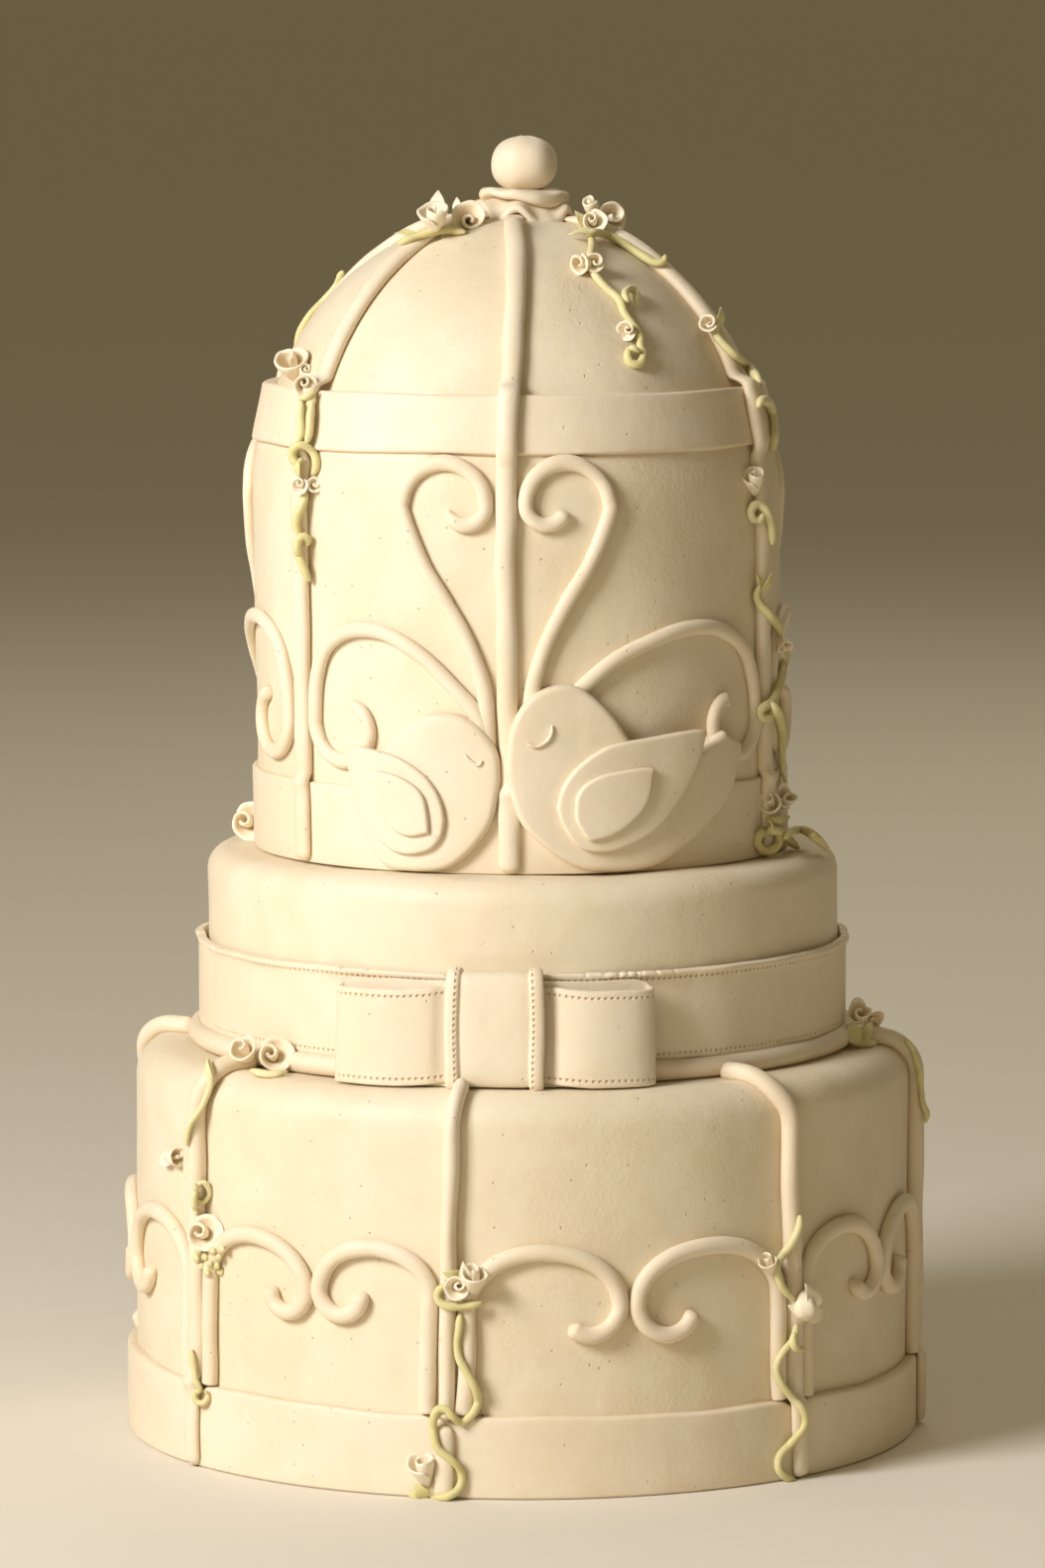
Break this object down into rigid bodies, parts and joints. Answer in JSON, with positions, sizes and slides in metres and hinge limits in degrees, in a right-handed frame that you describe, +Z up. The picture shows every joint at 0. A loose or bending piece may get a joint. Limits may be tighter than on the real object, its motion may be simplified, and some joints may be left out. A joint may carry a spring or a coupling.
{
  "type": "tiered wedding cake",
  "caption": "Round stacked wedding cake in ivory rolled icing; the top tier is a domed birdcage with lovebirds, scrolls, ribs, vines and sugar roses, and a bow sits on the middle tier.",
  "frame": {"origin": "centre of the bottom tier's flat base, on the surface that the cake stands on", "axes": "+Z up through the tiers to the ball on top, -Y towards the front with the bow and the lovebirds, +X to the viewer's right"},
  "size_m": [0.3409, 0.3532, 0.5404],
  "materials": {
    "tier_icing": "ivory rolled icing, matt and smooth, with small pits and faint dents",
    "trim_icing": "hand-rolled ivory icing trims, matt, slightly warmer than the tiers",
    "rose_icing": "rolled sugar-paste petals, pinkish ivory, matt",
    "vine_icing": "thin hand-rolled vines and leaves, pale yellow-green, matt"
  },
  "bodies": {
    "root": {"band_bottom": "trim_icing", "band_cage_foot": "trim_icing", "band_cage_rim": "trim_icing", "bird_left_body": "trim_icing", "bird_left_inner_wing": "trim_icing", "bird_left_wing": "trim_icing", "bird_right_body": "trim_icing", "bird_right_inner_wing": "trim_icing", "bird_right_wing": "trim_icing", "bow_knot": "trim_icing", "bow_loop_left": "trim_icing", "bow_loop_right": "trim_icing", "cage_scroll_front_left": "trim_icing", "cage_scroll_front_right": "trim_icing", "cage_scroll_left_left": "trim_icing", "cage_scroll_left_right": "trim_icing", "cage_scroll_right_left": "trim_icing", "cage_scroll_right_right": "trim_icing", "calla_cage_right": "rose_icing", "cap_ball": "trim_icing", "cap_ruffle_lower": "trim_icing", "cap_ruffle_upper": "trim_icing", "cone_rose_rib_c": "rose_icing", "rib_bottom_a": "trim_icing", "rib_bottom_b": "trim_icing", "rib_bottom_c": "trim_icing", "rib_bottom_d": "trim_icing", "rib_bottom_e": "trim_icing", "rib_bottom_f": "trim_icing", "rib_bottom_g": "trim_icing", "rib_bottom_h": "trim_icing", "rib_cage_back": "trim_icing", "rib_cage_back_left": "trim_icing", "rib_cage_back_right": "trim_icing", "rib_cage_front": "trim_icing", "rib_cage_left": "trim_icing", "rib_cage_right": "trim_icing", "ribbon_middle": "trim_icing", "roll_middle": "trim_icing", "rose_rib_b": "rose_icing", "roses_cage_foot_right": "rose_icing", "roses_crown_left": "rose_icing", "roses_crown_right": "vine_icing", "roses_dome_left": "rose_icing", "roses_foot_left": "rose_icing", "roses_foot_right": "rose_icing", "roses_middle_top_left": "rose_icing", "roses_rib_c": "rose_icing", "scrolls_ab": "trim_icing", "scrolls_bc": "trim_icing", "scrolls_cd": "trim_icing", "scrolls_de": "trim_icing", "scrolls_ef": "trim_icing", "scrolls_fg": "trim_icing", "scrolls_gh": "trim_icing", "scrolls_ha": "trim_icing", "star_rose_rib_d": "rose_icing", "tier_bottom": "tier_icing", "tier_middle": "tier_icing", "tier_top": "tier_icing"}
  },
  "joints": []
}
